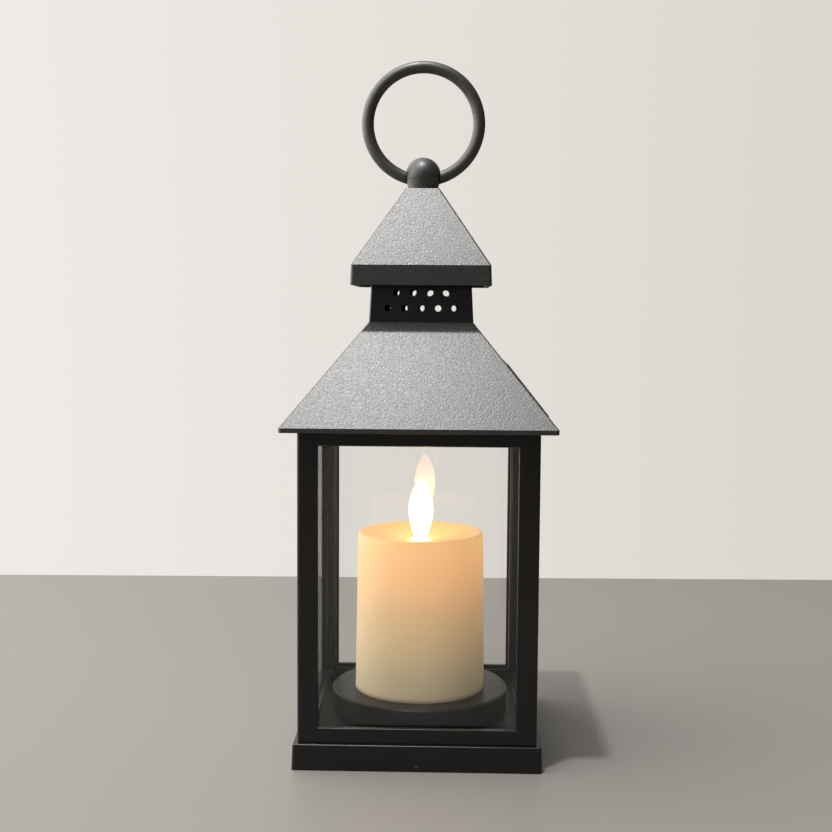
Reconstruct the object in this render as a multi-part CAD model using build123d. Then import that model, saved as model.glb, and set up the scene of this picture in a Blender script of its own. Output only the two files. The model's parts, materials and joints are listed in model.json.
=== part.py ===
from build123d import *
import math
import os

# Solar lantern: square plastic lantern with a moving-flame candle, a solar panel on the roof's
# right-hand slope and a carrying ring. Millimetres. The origin is the centre of the plinth's underside,
# +Z is up, the front faces -Y and +X is to the viewer's right.

# ---- driving dimensions ----------------------------------------------------------------------------
WALL = 2.0                      # wall of the black mouldings
GAP = 0.3                       # clearance between two mouldings
ROUND = 0.6                     # small radius on outer edges

PLINTH_HALF = 52.5              # half-width at the foot
PLINTH_TOP_HALF = 52.1          # half-width at the top
PLINTH_TOP = 11.0
DECK_UNDER = 9.0                # underside of the plinth's deck

COVER_UNDER = 1.0               # the bottom cover is recessed in the plinth
COVER_TOP = 3.0
COVER_SEAT = 2.2                # seat of the screw heads in their counterbores

FRAME_HALF = 50.2
FRAME_TOP = 142.2
WINDOW_HALF = 41.36             # clear opening in the outer skin
WINDOW_LOW = 17.5
WINDOW_HIGH = 136.5
SKIN = 2.4                      # thickness in front of a pane
GROOVE = 1.4                    # width of a pane's groove
GROOVE_HALF = 43.4              # the groove's reach into a post
GROOVE_FLOOR = 13.0
POST_INNER = 42.4               # inner faces of the posts
POST_ROUND = 1.5                # rounding of a post's inner corner
POST_CORE = (44.4, 47.8)        # the hollow down the middle of a post
SILL_TOP = 16.0                 # inner lip under the panes
LINTEL_UNDER = 136.0            # inner lip over the panes
RAIL_INNER = 44.0               # inner face of the rails
WINDOW_ROUND = 0.4              # rounding of a window's outer edge
HOOK_HALF = 6.0                 # half-width of the hooks that hold the frame on the plinth
HOOK_INNER = 45.0
HOOK_OUTER = 46.6
HOOK_REACH = 47.9

PANE_THICK = 1.2
PANE_HALF = 43.1
PANE_TOP = 141.8

EAVE_HALF = 57.1
EAVE_UNDER = FRAME_TOP
EAVE_TOP = 144.2
SLOPE_HALF = 57.0               # half-width at the foot of the slope
NECK_HALF = 22.5                # half-width where slope and neck meet
NECK_FOOT = 187.0
NECK_TOP_HALF = 21.45
NECK_TOP = 207.0
NECK_OPENING = 13.0             # half-width of the opening in the neck's top flange
VENT_PITCHES = (7.25, 6.9, 6.9, 6.9)        # spacing of the vents in front, at the right, behind and at the left
VENT_ROWS = ((193.1, 5, 1.45), (199.8, 4, 1.55))    # height, number and radius of the vents in each row
CEILING_TOP = 143.8

CAP_HALF = 30.05
CAP_RIM_HALF = 29.7
CAP_UNDER = 202.8
CAP_RIM_TOP = 211.3
CAP_PLATEAU_HALF = 7.36
CAP_TOP = 245.4
CAP_CEILING = 242.4

BALL_Z = 251.62
BALL_RADIUS = 7.78
BALL_FOOT_RADIUS = 6.6
BALL_TAPER_Z = 249.3            # the ball's lower part is straight below this height
RING_Z = 274.07
RING_RADIUS = 24.55
RING_WIRE = 2.66                # radius of the ring's own section
RING_CUT = 8.1                  # the ring's ends follow a sphere round the ball
PIN_RADIUS = 1.2
PIN_BORE = 1.25

PANEL_WIDTH = 55.0
PANEL_LOW = 147.0               # lowest and highest z of the panel on the slope
PANEL_HIGH = 169.4
PANEL_PROUD = 0.6
PANEL_DEPTH = 1.5               # depth of its pocket
RESIN_THICK = 1.0
CELL_THICK = 0.25
CELL_COUNT = 4
PANEL_LENGTH = (PANEL_HIGH - PANEL_LOW) / math.cos(math.atan2(SLOPE_HALF - NECK_HALF, NECK_FOOT - EAVE_TOP))

PLATE_RADIUS = 39.5
PLATE_TOP = 22.0
PLATE_RECESS = 21.0             # floor of the recess that holds the candle
RECESS_RADIUS = 29.7
PLATE_UNDER = 19.5
LEAD_HOLE = (0.0, 16.0)         # where the candle's leads pass down

CANDLE_FOOT_RADIUS = 29.4
CANDLE_TOP_RADIUS = 28.4
CANDLE_RIM = 93.0
CANDLE_DISH = 88.5              # lowest point of the dished top
CANDLE_CEILING = 86.4
CANDLE_WALL = 2.2
COLLAR_RADIUS = 4.5
COLLAR_BORE = 3.7
COLLAR_TOP = 89.2

CORE_RADIUS = 9.0
CORE_BORE = 7.4
CORE_FOOT = 57.8
LED_BOARD_THICK = 1.2
LED_TILT = 16.0                 # the diode leans towards the flame, in degrees
LED_BASE = (0.0, 5.5, 77.4)
LED_RADIUS = 1.5
COIL_TOP = 66.5
COIL_FLANGE = 0.8
COIL_GAP = 0.05                 # between the winding and its bobbin
COIL_INNER = 2.4
COIL_OUTER = 4.7
BOBBIN_OUTER = 5.0

FLAME_PIVOT = 88.4
FLAME_THICK = 1.2
FLAME_TIP = 117.7
WIRE_RADIUS = 0.40
FLAME_HOLE = 0.48
MAGNET_RADIUS = 3.0
MAGNET_LOW = 69.0
MAGNET_HIGH = 72.0
# half-widths of the flame leaf at heights above the pivot
FLAME_OUTLINE = ((2.2, 0.0), (3.8, 4.7), (5.2, 10.2), (5.5, 14.0), (5.15, 18.4), (4.0, 22.7), (2.1, 26.8))

CELL_RADIUS = 7.1
CELL_LENGTH = 50.5
CELL_Z = 10.4
BAY_HALF = 28.0                 # the battery bay's half-length
BAY_HALF_WIDTH = 8.6
BAY_WALL = 1.2
BAY_CEILING = 17.8
BAY_TOP = 19.0
CONTACT_THICK = 0.4
DOOR_THICK = 1.6
DOOR_HINGE = (-7.3, 2.1)        # y and z of the battery door's hinge axis
DOOR_BARREL = 1.1
TRUNNION_RADIUS = 0.8
TRUNNION_BORE = 0.86

BOARD = (-16.0, 16.0, 19.0, 41.0)   # x and y limits of the control board
BOARD_UNDER = 6.4
BOARD_TOP = 7.6
SWITCH_POS = (-6.0, 35.5)       # centre of the slide switch
SWITCH_TRAVEL = 2.5
KNOB_LOW = 0.4

COVER_SCREWS = [(x, y) for x in (-45.5, 45.5) for y in (-32.0, 32.0)]
CEILING_SCREWS = [(x, y) for x in (-37.0, 37.0) for y in (-37.0, 37.0)]
CAP_SCREWS = [(x, y) for x in (-17.0, 17.0) for y in (-17.0, 17.0)]
PLATE_SCREW_CIRCLE = 34.4
PLATE_SCREW_ANGLES = [math.radians(a) for a in (30, 150, 270)]
PLATE_SCREWS = [(PLATE_SCREW_CIRCLE * math.cos(a), PLATE_SCREW_CIRCLE * math.sin(a))
                for a in PLATE_SCREW_ANGLES]
BOARD_SCREWS = [(13.0, 22.0), (-13.0, 38.0)]
THREAD = 1.1                    # radius of a small self-tapping screw
PILOT = 1.15
BOARD_THREAD = 0.9              # radius of the control board's screws
BOARD_PILOT = 0.95
SCREW_HOLE = 1.4                # clearance hole for a screw's thread
SCREW_BOSS = 2.8                # radius of the bosses in the roof and the cap

CONDUIT = (46.1, 46.1)          # the rear right post carries the panel's leads
CONDUIT_HOLE = 1.9
PANEL_LEAD_ALONG = 18.0         # where they leave the panel, measured along the eave
LEAD_RADIUS = 0.6
THIN_LEAD_RADIUS = 0.5
LEAD_PAIR = 0.62                # half the offset between the two leads in the post, along x and y

# ---- helpers ---------------------------------------------------------------------------------------


def block(x0, x1, y0, y1, z0, z1):
    """A box between two corners."""
    return Pos((x0 + x1) / 2, (y0 + y1) / 2, (z0 + z1) / 2) * Box(x1 - x0, y1 - y0, z1 - z0)


def square(half, z0, z1):
    """A square block centred on the z axis."""
    return block(-half, half, -half, half, z0, z1)


def post(x, y, z0, z1, radius):
    """An upright cylinder."""
    return Pos(x, y, (z0 + z1) / 2) * Cylinder(radius, z1 - z0)


def frustum(half0, z0, half1, z1, corner=0.0):
    """A square block that tapers from half0 at z0 to half1 at z1, with rounded hips."""
    taper = math.degrees(math.atan2(half0 - half1, z1 - z0))
    solid = extrude(Pos(0, 0, z0) * Rectangle(2 * half0, 2 * half0), amount=z1 - z0, taper=taper)
    if corner:
        hips = [e for e in solid.edges() if abs(e.tangent_at(0.5).Z) > 0.3]
        solid = fillet(hips, corner)
    return solid


def quarter_turns(shape):
    """Four copies of a shape about the z axis."""
    return [Rot(0, 0, 90 * k) * shape for k in range(4)]


def join(shapes):
    """All shapes fused into one."""
    total = shapes[0]
    for shape in shapes[1:]:
        total = total + shape
    return total


def cut(solid, tools):
    """A solid with every tool taken out of it."""
    for tool in tools:
        solid = solid - tool
    return solid


def turned(points):
    """A solid of revolution about the z axis from (radius, height) points."""
    face = make_face(Polyline(*[(r, 0, z) for r, z in points], close=True))
    return revolve(face, Axis.Z)


def screw(x, y, z_face, length, head_radius=2.2, head_height=1.2, radius=THREAD):
    """A pan-head screw driven upwards, its head under z_face."""
    head = post(x, y, z_face - head_height, z_face, head_radius)
    head = fillet(head.edges().group_by(Axis.Z)[0], 0.4)
    slot = block(x - head_radius, x + head_radius, y - 0.3, y + 0.3, z_face - head_height, z_face - 0.7)
    cross = block(x - 0.3, x + 0.3, y - head_radius, y + head_radius, z_face - head_height, z_face - 0.7)
    core = post(x, y, z_face - head_height, z_face - 0.7, 1.3)
    recess = (slot + cross) & core
    return head + post(x, y, z_face, z_face + length, radius) - recess


def lead(points, radii, radius=LEAD_RADIUS):
    """A round lead along straight runs joined by tangent arcs."""
    path = FilletPolyline(*points, radius=radii)
    start = path @ 0
    section = Plane(origin=start, z_dir=path % 0) * Circle(radius)
    return sweep(section, path=path)


def slope_half(z):
    """Half-width of the roof's slope at a height."""
    return SLOPE_HALF - (SLOPE_HALF - NECK_HALF) * (z - EAVE_TOP) / (NECK_FOOT - EAVE_TOP)


def cap_half(z):
    """Half-width of the cap's slope at a height."""
    return CAP_RIM_HALF - (CAP_RIM_HALF - CAP_PLATEAU_HALF) * (z - CAP_RIM_TOP) / (CAP_TOP - CAP_RIM_TOP)


def panel_plane():
    """Plane on the right-hand slope: x along the eave, z outwards, origin at the panel's centre."""
    middle = (PANEL_LOW + PANEL_HIGH) / 2
    rise = NECK_FOOT - EAVE_TOP
    run = SLOPE_HALF - NECK_HALF
    return Plane(origin=(slope_half(middle), 0, middle), x_dir=(0, 1, 0), z_dir=(rise, 0, run))


def panel_block(width, length, low, high):
    """A block on the panel's plane, from low to high along its outward normal."""
    return panel_plane() * Pos(0, 0, (low + high) / 2) * Box(width, length, high - low)


# ---- base ------------------------------------------------------------------------------------------


def base_plinth():
    body = frustum(PLINTH_HALF, 0, PLINTH_TOP_HALF, PLINTH_TOP, corner=1.2)
    body = fillet(body.faces().sort_by(Axis.Z)[-1].edges(), ROUND)
    body -= square(PLINTH_HALF - WALL, 0, DECK_UNDER)
    bosses = [post(x, y, COVER_TOP, DECK_UNDER, 3.2) for x, y in COVER_SCREWS]
    bosses += [post(x, y, BOARD_TOP, DECK_UNDER, 2.2) for x, y in BOARD_SCREWS]
    body = join([body] + bosses)
    holes = [post(x, y, COVER_TOP, DECK_UNDER, PILOT) for x, y in COVER_SCREWS]
    holes += [post(x, y, BOARD_TOP, DECK_UNDER + 1.5, BOARD_PILOT) for x, y in BOARD_SCREWS]
    holes += [post(x, y, DECK_UNDER, PLINTH_TOP, SCREW_HOLE) for x, y in PLATE_SCREWS]
    holes.append(post(*LEAD_HOLE, DECK_UNDER, PLINTH_TOP, 2.6))
    holes.append(post(*CONDUIT, DECK_UNDER, PLINTH_TOP, CONDUIT_HOLE))
    bay = BAY_HALF + BAY_WALL + 0.6
    bay_width = BAY_HALF_WIDTH + BAY_WALL + 0.4
    holes.append(block(-bay, bay, -bay_width, bay_width, DECK_UNDER, PLINTH_TOP))
    hook_half = HOOK_HALF + GAP
    holes += quarter_turns(block(-hook_half, hook_half, HOOK_INNER - GAP, HOOK_REACH - 0.4,
                                 DECK_UNDER, PLINTH_TOP))
    return cut(body, holes)


def bottom_cover():
    half = PLINTH_HALF - WALL - GAP
    plate = square(half, COVER_UNDER, COVER_TOP)
    plate = fillet(plate.edges().filter_by(Axis.Z), 1.0)
    outer_x = BAY_HALF + BAY_WALL
    outer_y = BAY_HALF_WIDTH + BAY_WALL
    bay = block(-outer_x, outer_x, -outer_y, outer_y, COVER_TOP, BAY_TOP)
    bay -= block(-BAY_HALF, BAY_HALF, -BAY_HALF_WIDTH, BAY_HALF_WIDTH, COVER_TOP, BAY_CEILING)
    hinge_y, hinge_z = DOOR_HINGE
    cheeks = [block(*sorted((s * BAY_HALF, s * (BAY_HALF + 3.0))), hinge_y - 2.0, hinge_y + 2.0,
                    COVER_UNDER, hinge_z + 2.2) for s in (-1, 1)]
    body = join([plate, bay] + cheeks)
    openings = [block(-BAY_HALF, BAY_HALF, -BAY_HALF_WIDTH, BAY_HALF_WIDTH, COVER_UNDER, COVER_TOP)]
    openings.append(Pos(0, hinge_y, hinge_z) * Rot(0, 90, 0) * Cylinder(TRUNNION_BORE, 2 * (BAY_HALF + 1.9)))
    for x, y in COVER_SCREWS:
        openings += [post(x, y, COVER_UNDER, COVER_TOP, SCREW_HOLE), post(x, y, COVER_UNDER, COVER_SEAT, 2.6)]
    sx, sy = SWITCH_POS
    openings.append(block(sx - 3.1 - SWITCH_TRAVEL / 2, sx + 1.9 + SWITCH_TRAVEL / 2, sy - 2.2, sy + 2.2,
                          COVER_UNDER, COVER_TOP))
    for s in (-1, 1):
        tab = sorted((s * (BAY_HALF - 0.6), s * BAY_HALF))
        openings.append(block(*tab, BAY_HALF_WIDTH, outer_y, 5.0, 7.4))
    openings.append(Pos(0, BAY_HALF_WIDTH + 0.4, COVER_UNDER) * Rot(0, 90, 0) * Cylinder(1.2, 12))
    return cut(body, openings)


def cover_screws():
    return [screw(x, y, COVER_SEAT, 6.3) for x, y in COVER_SCREWS]


def battery_door():
    hinge_y, hinge_z = DOOR_HINGE
    length = BAY_HALF - 0.2
    panel = block(-length, length, hinge_y, BAY_HALF_WIDTH - 0.2, COVER_UNDER, COVER_UNDER + DOOR_THICK)
    barrel = Pos(0, hinge_y, hinge_z) * Rot(0, 90, 0) * Cylinder(DOOR_BARREL, 2 * length)
    trunnions = Pos(0, hinge_y, hinge_z) * Rot(0, 90, 0) * Cylinder(TRUNNION_RADIUS, 2 * (BAY_HALF + 1.6))
    tongue = block(-6, 6, BAY_HALF_WIDTH - 1.2, BAY_HALF_WIDTH - 0.2, COVER_UNDER, COVER_TOP + 0.4)
    grooves = [Pos(x, 0, COVER_UNDER) * Rot(90, 0, 0) * Cylinder(0.45, 10) for x in (-4, -2, 0, 2, 4)]
    return cut(join([panel, barrel, trunnions, tongue]), grooves)


def battery_cell():
    can_length = CELL_LENGTH - 1.0
    can_right = BAY_HALF - CONTACT_THICK - 0.15 - 1.0
    can = Cylinder(CELL_RADIUS, can_length)
    can = fillet(can.edges(), 0.5)
    nub = Pos(0, 0, can_length / 2 + 0.5) * Cylinder(2.7, 1.0)
    nub = fillet(nub.edges().group_by(Axis.Z)[-1], 0.3)
    return Pos(can_right - can_length / 2, 0, CELL_Z) * Rot(0, 90, 0) * (can + nub)


def positive_contact():
    face = BAY_HALF - 0.05
    plate = block(face - CONTACT_THICK, face, -6, 6, 5, 16)
    tab = block(face - CONTACT_THICK, face, 6, BAY_HALF_WIDTH + BAY_WALL + 1.6, 5.2, 7.2)
    return plate + tab


def contact_spring():
    face = -(BAY_HALF - 0.05)
    plate = block(face, face + CONTACT_THICK, -6, 6, 5, 16)
    plate += block(face, face + CONTACT_THICK, 6, BAY_HALF_WIDTH + BAY_WALL + 1.6, 5.2, 7.2)
    start = face + CONTACT_THICK + 0.2
    wire_radius = 0.35
    reach = -(CELL_LENGTH - 1.0) + BAY_HALF - CONTACT_THICK - 1.15 - wire_radius - 0.05
    coil = Helix(pitch=(reach - start) / 3.5, height=reach - start, radius=4.6, center=(start, 0, CELL_Z),
                 direction=(1, 0, 0), cone_angle=-18)
    section = Plane(origin=coil @ 0, z_dir=coil % 0) * Circle(wire_radius)
    return plate + sweep(section, path=coil, is_frenet=True)


def control_board():
    board = block(*BOARD, BOARD_UNDER, BOARD_TOP)
    return cut(board, [post(x, y, BOARD_UNDER, BOARD_TOP, 1.1) for x, y in BOARD_SCREWS])


def board_parts():
    """Controller chip, choke, capacitor and five resistors, all under the board."""
    chip = block(3.0, 8.0, 28.0, 32.0, BOARD_UNDER - 1.5, BOARD_UNDER)
    legs = [block(x, x + 0.45, 27.0, 33.0, BOARD_UNDER - 0.6, BOARD_UNDER) for x in (3.4, 4.6, 5.9, 7.1)]
    choke = post(11.0, 29.5, BOARD_UNDER - 2.6, BOARD_UNDER, 2.4)
    choke = fillet(choke.edges(), 0.3)
    capacitor = post(-13.0, 29.0, BOARD_UNDER - 2.8, BOARD_UNDER, 2.0)
    small = [block(x, x + 1.6, y, y + 0.8, BOARD_UNDER - 0.6, BOARD_UNDER)
             for x, y in ((-6.0, 24.0), (-6.0, 26.0), (2.5, 24.5), (2.5, 35.5), (6.0, 35.5))]
    return [join([chip] + legs), choke, capacitor] + small


def board_screws():
    return [screw(x, y, BOARD_UNDER, 3.8, head_radius=1.9, head_height=1.0, radius=BOARD_THREAD)
            for x, y in BOARD_SCREWS]


def switch_body():
    sx, sy = SWITCH_POS
    body = block(sx - 4.6, sx + 4.0, sy - 1.9, sy + 1.9, COVER_TOP + 0.3, BOARD_UNDER)
    slot = block(sx - 2.5 - 0.3, sx + 2.5 - 0.3, sy - 0.95, sy + 0.95, COVER_TOP + 0.3, BOARD_UNDER - 0.6)
    return body - slot


def switch_knob():
    """The knob at rest is at its right-hand end, where the lantern is on."""
    sx, sy = SWITCH_POS
    centre = sx - 0.6 + SWITCH_TRAVEL / 2
    stem = block(centre - 0.8, centre + 0.8, sy - 0.8, sy + 0.8, KNOB_LOW, BOARD_UNDER - 0.8)
    grip = block(centre - 1.6, centre + 1.6, sy - 1.9, sy + 1.9, KNOB_LOW, COVER_TOP - 0.2)
    ribs = [block(centre + x - 0.2, centre + x + 0.2, sy - 1.9, sy + 1.9, KNOB_LOW, KNOB_LOW + 0.35)
            for x in (-0.8, 0.0, 0.8)]
    return cut(stem + grip, ribs)


# ---- frame and panes -------------------------------------------------------------------------------


def on_window_edge(point):
    """Whether the middle of an edge lies on the outer rim of a window."""
    slack = 0.01
    near, far = sorted((abs(point.X), abs(point.Y)))
    return (abs(far - FRAME_HALF) < slack and near < WINDOW_HALF + slack
            and WINDOW_LOW - slack < point.Z < WINDOW_HIGH + slack)


def lantern_frame():
    outer = square(FRAME_HALF, PLINTH_TOP, FRAME_TOP)
    outer = fillet(outer.edges().filter_by(Axis.Z), 1.2)
    pane_out = FRAME_HALF - SKIN
    pane_in = pane_out - GROOVE
    inside = square(RAIL_INNER, PLINTH_TOP, FRAME_TOP)
    column = block(POST_INNER, pane_in, POST_INNER, pane_in, PLINTH_TOP, FRAME_TOP)
    inner_edge = column.edges().filter_by(Axis.Z).sort_by(lambda e: e.center().X + e.center().Y)[0]
    body = join([outer - inside] + quarter_turns(fillet(inner_edge, POST_ROUND)))
    window = block(-WINDOW_HALF, WINDOW_HALF, pane_out, FRAME_HALF + 1, WINDOW_LOW, WINDOW_HIGH)
    lip = block(-POST_INNER, POST_INNER, RAIL_INNER - 1, pane_in, SILL_TOP, LINTEL_UNDER)
    groove = block(-GROOVE_HALF, GROOVE_HALF, pane_in, pane_out, GROOVE_FLOOR, FRAME_TOP)
    tools = []
    for tool in (window, lip, groove):
        tools += quarter_turns(tool)
    low, high = POST_CORE
    tools += quarter_turns(block(low, high, low, high, PLINTH_TOP, FRAME_TOP))
    body = cut(body, tools)
    body = fillet([e for e in body.edges() if on_window_edge(e.center())], WINDOW_ROUND)
    tab = block(-HOOK_HALF, HOOK_HALF, HOOK_INNER, HOOK_OUTER, DECK_UNDER - 1.3, PLINTH_TOP + 1)
    hook = block(-HOOK_HALF, HOOK_HALF, HOOK_OUTER, HOOK_REACH, DECK_UNDER - 1.3, DECK_UNDER - 0.1)
    hook = chamfer(hook.edges().filter_by(Axis.X).group_by(Axis.Z)[0].sort_by(Axis.Y)[-1], 0.8)
    return join([body] + quarter_turns(tab + hook))


def pane():
    """One clear pane, on the front side."""
    middle = -(FRAME_HALF - SKIN - GROOVE / 2)
    sheet = block(-PANE_HALF, PANE_HALF, middle - PANE_THICK / 2, middle + PANE_THICK / 2,
                  GROOVE_FLOOR + 0.05, PANE_TOP)
    return sheet


# ---- roof, panel and cap ---------------------------------------------------------------------------


def roof():
    eave = square(EAVE_HALF, EAVE_UNDER, EAVE_TOP)
    eave = fillet(eave.edges().filter_by(Axis.Z), 1.5)
    eave = fillet(eave.faces().sort_by(Axis.Z)[0].edges(), 0.4)
    slope = frustum(SLOPE_HALF, EAVE_TOP, NECK_HALF, NECK_FOOT, corner=1.0)
    neck = frustum(NECK_HALF, NECK_FOOT, NECK_TOP_HALF, NECK_TOP, corner=0.8)
    outer = join([eave, slope, neck])

    inset = WALL / math.sin(math.atan2(NECK_FOOT - EAVE_TOP, SLOPE_HALF - NECK_HALF))
    hollow = frustum(SLOPE_HALF - inset, EAVE_TOP, NECK_HALF - inset, NECK_FOOT)
    eave_hollow = square(SLOPE_HALF - inset, EAVE_UNDER, EAVE_TOP)
    neck_hollow = frustum(NECK_HALF - inset, NECK_FOOT, NECK_TOP_HALF - WALL, NECK_TOP - WALL)
    opening = square(NECK_OPENING, NECK_TOP - WALL, NECK_TOP)
    body = cut(outer, [hollow, eave_hollow, neck_hollow, opening])

    backing = panel_block(PANEL_WIDTH + 4, PANEL_LENGTH + 4, -PANEL_DEPTH - 1.6, -0.2)
    bosses = [post(x, y, CEILING_TOP, 170.0, SCREW_BOSS) for x, y in CEILING_SCREWS]
    body = body + (join([backing] + bosses) & outer & square(EAVE_HALF, CEILING_TOP, NECK_FOOT))

    tools = [panel_block(PANEL_WIDTH + 0.2, PANEL_LENGTH + 0.2, -PANEL_DEPTH, 3)]
    tools += [post(x, y, CEILING_TOP, CEILING_TOP + 10, PILOT) for x, y in CEILING_SCREWS]
    tools += [post(x, y, NECK_TOP - WALL, NECK_TOP, SCREW_HOLE) for x, y in CAP_SCREWS]
    tools.append(panel_plane() * Pos(PANEL_LEAD_ALONG, 0, -2) * Cylinder(2.0, 8))
    for height, count, radius in VENT_ROWS:
        vent = Rot(90, 0, 0) * Cylinder(radius, NECK_HALF)
        for side, pitch in enumerate(VENT_PITCHES):
            for k in range(count):
                across = (k - (count - 1) / 2) * pitch
                tools.append(Rot(0, 0, 90 * side) * Pos(across, -NECK_HALF, height) * vent)
    return cut(body, tools)


def roof_ceiling():
    inset = WALL / math.sin(math.atan2(NECK_FOOT - EAVE_TOP, SLOPE_HALF - NECK_HALF))
    plate = square(SLOPE_HALF - inset - 0.15, EAVE_UNDER, CEILING_TOP)
    ribs = quarter_turns(block(-36, 36, 42.2, RAIL_INNER - 0.05, EAVE_UNDER - 4, EAVE_UNDER))
    holes = [post(x, y, EAVE_UNDER, CEILING_TOP, SCREW_HOLE) for x, y in CEILING_SCREWS]
    holes.append(post(*CONDUIT, EAVE_UNDER, CEILING_TOP, CONDUIT_HOLE))
    return cut(join([plate] + ribs), holes)


def ceiling_screws():
    return [screw(x, y, EAVE_UNDER, 9.0) for x, y in CEILING_SCREWS]


def solar_board():
    top = PANEL_PROUD - RESIN_THICK
    board = panel_block(PANEL_WIDTH, PANEL_LENGTH, -PANEL_DEPTH, top)
    pads = [panel_plane() * Pos(PANEL_LEAD_ALONG + s * 0.9, 0, -PANEL_DEPTH + 0.15)
            * Cylinder(LEAD_RADIUS, 0.3) for s in (-1, 1)]
    return cut(board, pads)


def solar_cells():
    """Cell strips side by side along the eave, in the underside of the resin."""
    top = PANEL_PROUD - RESIN_THICK
    strip = (PANEL_WIDTH - 4.0) / CELL_COUNT
    cells = []
    for k in range(CELL_COUNT):
        across = (k - (CELL_COUNT - 1) / 2) * strip
        cells.append(panel_plane() * Pos(across, 0, top + CELL_THICK / 2)
                     * Box(strip - 0.8, PANEL_LENGTH - 3.6, CELL_THICK))
    return cells


def solar_resin():
    top = PANEL_PROUD - RESIN_THICK
    resin = Box(PANEL_WIDTH, PANEL_LENGTH, RESIN_THICK)
    resin = fillet(resin.edges().filter_by(Axis.Z), 0.8)
    resin = fillet(resin.faces().sort_by(Axis.Z)[-1].edges(), 0.3)
    resin = panel_plane() * Pos(0, 0, top + RESIN_THICK / 2) * resin
    return cut(resin, solar_cells())


def cap():
    rim = frustum(CAP_HALF, CAP_UNDER, CAP_RIM_HALF, CAP_RIM_TOP, corner=1.2)
    slope = frustum(CAP_RIM_HALF, CAP_RIM_TOP, CAP_PLATEAU_HALF, CAP_TOP, corner=1.0)
    outer = rim + slope
    inset = WALL / math.sin(math.atan2(CAP_TOP - CAP_RIM_TOP, CAP_RIM_HALF - CAP_PLATEAU_HALF))
    rim_hollow = frustum(CAP_HALF - WALL, CAP_UNDER, CAP_RIM_HALF - inset, CAP_RIM_TOP)
    hollow = frustum(CAP_RIM_HALF - inset, CAP_RIM_TOP, cap_half(CAP_CEILING) - inset, CAP_CEILING)
    body = cut(outer, [rim_hollow, hollow])
    collar = square(NECK_TOP_HALF + 2.4, CAP_UNDER + 1.0, CAP_CEILING) - square(NECK_TOP_HALF + 0.4,
                                                                              CAP_UNDER, CAP_CEILING)
    bosses = [post(x, y, NECK_TOP, CAP_CEILING, SCREW_BOSS) for x, y in CAP_SCREWS]
    body = body + (join([collar] + bosses) & outer)
    tools = [post(x, y, NECK_TOP, NECK_TOP + 8, PILOT) for x, y in CAP_SCREWS]
    tools.append(post(0, 0, CAP_CEILING, CAP_TOP, 1.6))
    return cut(body, tools)


def cap_screws():
    return [screw(x, y, NECK_TOP - WALL, 8.0) for x, y in CAP_SCREWS]


def finial_ball():
    taper_radius = math.sqrt(BALL_RADIUS**2 - (BALL_Z - BALL_TAPER_Z) ** 2)
    shoulder = (taper_radius, 0, BALL_TAPER_Z)
    crown = (0, 0, BALL_Z + BALL_RADIUS)
    outline = Polyline((0, 0, CAP_TOP), (BALL_FOOT_RADIUS, 0, CAP_TOP), shoulder)
    outline += ThreePointArc(shoulder, (BALL_RADIUS, 0, BALL_Z), crown)
    outline += Line(crown, (0, 0, CAP_TOP))
    ball = revolve(make_face(outline), Axis.Z)
    bores = [Pos(s * 6.0, 0, BALL_Z) * Rot(0, 90, 0) * Cylinder(PIN_BORE, 6.0) for s in (-1, 1)]
    return cut(ball, bores + [post(0, 0, CAP_TOP, 249.6, 1.25)])


def finial_screw():
    return screw(0, 0, CAP_CEILING, 6.8, head_radius=2.6, radius=1.2)


def ring_handle():
    ring = Pos(0, 0, RING_Z) * Rot(90, 0, 0) * Torus(RING_RADIUS, RING_WIRE)
    ring -= Pos(0, 0, BALL_Z) * Sphere(RING_CUT)
    pins = [Pos(s * 6.4, 0, BALL_Z) * Rot(0, 90, 0) * Cylinder(PIN_RADIUS, 6.0) for s in (-1, 1)]
    return join([ring] + pins)


# ---- candle ----------------------------------------------------------------------------------------


def candle_plate():
    plate = turned([(0, PLINTH_TOP), (PLATE_RADIUS, PLINTH_TOP), (PLATE_RADIUS, PLATE_TOP), (0, PLATE_TOP)])
    plate = fillet(plate.edges().group_by(Axis.Z)[-1], 0.8)
    plate -= post(0, 0, PLINTH_TOP, PLATE_UNDER, PLATE_RADIUS - WALL)
    plate -= post(0, 0, PLATE_RECESS, PLATE_TOP, RECESS_RADIUS)
    bosses = [post(x, y, PLINTH_TOP, PLATE_UNDER, 3.0) for x, y in PLATE_SCREWS]
    holes = [post(x, y, PLINTH_TOP, PLATE_UNDER, PILOT) for x, y in PLATE_SCREWS]
    holes.append(post(*LEAD_HOLE, PLATE_UNDER, PLATE_RECESS, 2.5))
    return cut(join([plate] + bosses), holes)


def plate_screws():
    return [screw(x, y, DECK_UNDER, 9.0) for x, y in PLATE_SCREWS]


def candle_shell():
    rim_radius = CANDLE_TOP_RADIUS - 1.9
    shoulder = (CANDLE_TOP_RADIUS, 0, CANDLE_RIM - 1.9)
    edge = (CANDLE_TOP_RADIUS - 0.5, 0, CANDLE_RIM - 0.45)
    rim = (rim_radius, 0, CANDLE_RIM)
    lip = (COLLAR_RADIUS + 0.1, 0, CANDLE_DISH)
    inner_top = CANDLE_TOP_RADIUS - CANDLE_WALL
    outline = Line((CANDLE_FOOT_RADIUS, 0, PLATE_RECESS), shoulder)
    outline += ThreePointArc(shoulder, edge, rim)
    outline += Spline(rim, (15.5, 0, CANDLE_DISH + 0.9), lip, tangents=((-1, 0, -0.12), (-1, 0, -0.02)))
    outline += Polyline(lip, (COLLAR_RADIUS + 0.1, 0, CANDLE_CEILING), (11.5, 0, CANDLE_CEILING),
                        (inner_top, 0, CANDLE_CEILING + 2.2), (CANDLE_FOOT_RADIUS - CANDLE_WALL, 0, PLATE_RECESS),
                        (CANDLE_FOOT_RADIUS, 0, PLATE_RECESS))
    return revolve(make_face(outline), Axis.Z)


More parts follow.
